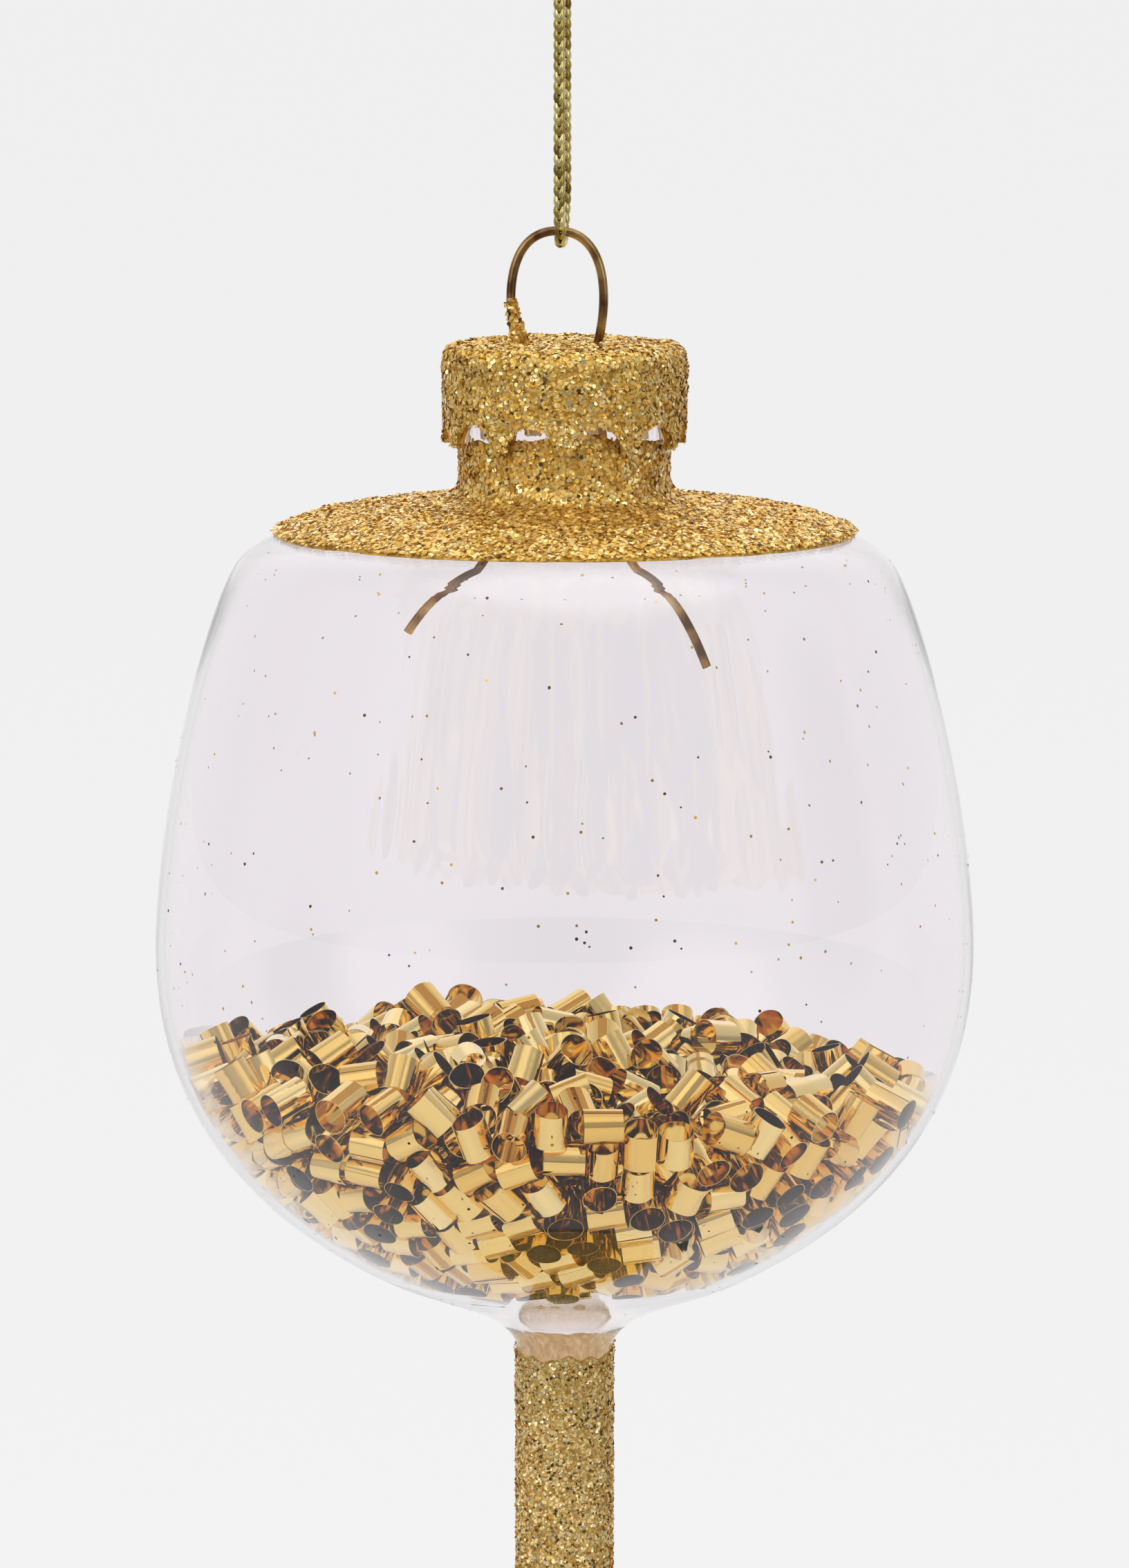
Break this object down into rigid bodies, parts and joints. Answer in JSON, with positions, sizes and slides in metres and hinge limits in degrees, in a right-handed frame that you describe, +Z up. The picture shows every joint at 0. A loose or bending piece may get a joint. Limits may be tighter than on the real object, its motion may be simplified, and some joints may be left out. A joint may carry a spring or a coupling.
{
  "type": "hanging glass ornament",
  "caption": "Hanging blown-glass goblet ornament, glittered on its cap, shoulder, stem and foot, filled with loose gold foil rolls and hung from a doubled cord.",
  "frame": {"origin": "the point just below the cord's knot where a hook carries the loop", "axes": "+Z up, along the goblet's axis; the hanger wire's eye lies in the X-Z plane, seen face on along +Y"},
  "size_m": [0.08, 0.08, 0.195],
  "materials": {
    "gold_cord": "knitted metallic thread",
    "bronze_wire": "dark bronze-coloured spring wire",
    "gold_cap": "pressed sheet, bright",
    "coarse_glitter": "coarse metallised flakes in clear glue",
    "clear_glass": "blown, clear and glossy",
    "fine_glitter": "fine metallised flakes in clear glue",
    "gold_foil": "metallised film, mirror gold outside, amber inside"
  },
  "bodies": {
    "cord": {"cord_loop": "gold_cord", "cord_knot": "gold_cord", "cord_tails": "gold_cord"},
    "hanger": {"wire_eye": "bronze_wire", "cap": "gold_cap", "cap_glitter": "coarse_glitter"},
    "left_leg": {"left_spring_leg": "bronze_wire"},
    "right_leg": {"right_spring_leg": "bronze_wire"},
    "glass": {"glass_neck": "clear_glass", "glass_shoulder": "clear_glass", "glass_bowl_upper": "clear_glass", "glass_bowl_lower": "clear_glass", "glass_funnel": "clear_glass", "glass_stem": "clear_glass", "glass_foot": "clear_glass", "shoulder_glitter": "coarse_glitter", "stem_glitter": "fine_glitter", "foot_glitter": "fine_glitter"},
    "filling": {"foil_rolls_top": "gold_foil", "foil_rolls_upper": "gold_foil", "foil_rolls_middle": "gold_foil", "foil_rolls_bottom": "gold_foil"}
  },
  "joints": [
    {"name": "swing", "type": "hinge", "parent": "cord", "child": "hanger", "pos_m": [0, 0, -0.0248], "axis": [1, 0, 0], "range_deg": [-40, 40]},
    {"name": "glass_pull", "type": "slide", "parent": "hanger", "child": "glass", "axis": [0, 0, -1], "range_m": [0, 0.03]},
    {"name": "left_leg_bend", "type": "hinge", "parent": "hanger", "child": "left_leg", "pos_m": [-0.0045, -0.00065, -0.037], "axis": [0, -1, 0], "range_deg": [0, 26]},
    {"name": "right_leg_bend", "type": "hinge", "parent": "hanger", "child": "right_leg", "pos_m": [0.0031, 0.00065, -0.037], "axis": [0, 1, 0], "range_deg": [0, 26]},
    {"name": "filling_lift", "type": "slide", "parent": "glass", "child": "filling", "axis": [0, 0, 1], "range_m": [0, 0.005]}
  ],
  "couplings": [
    {"joint": "left_leg_bend", "follows": "glass_pull", "rad_per_m": 15},
    {"joint": "right_leg_bend", "follows": "glass_pull", "rad_per_m": 15}
  ]
}
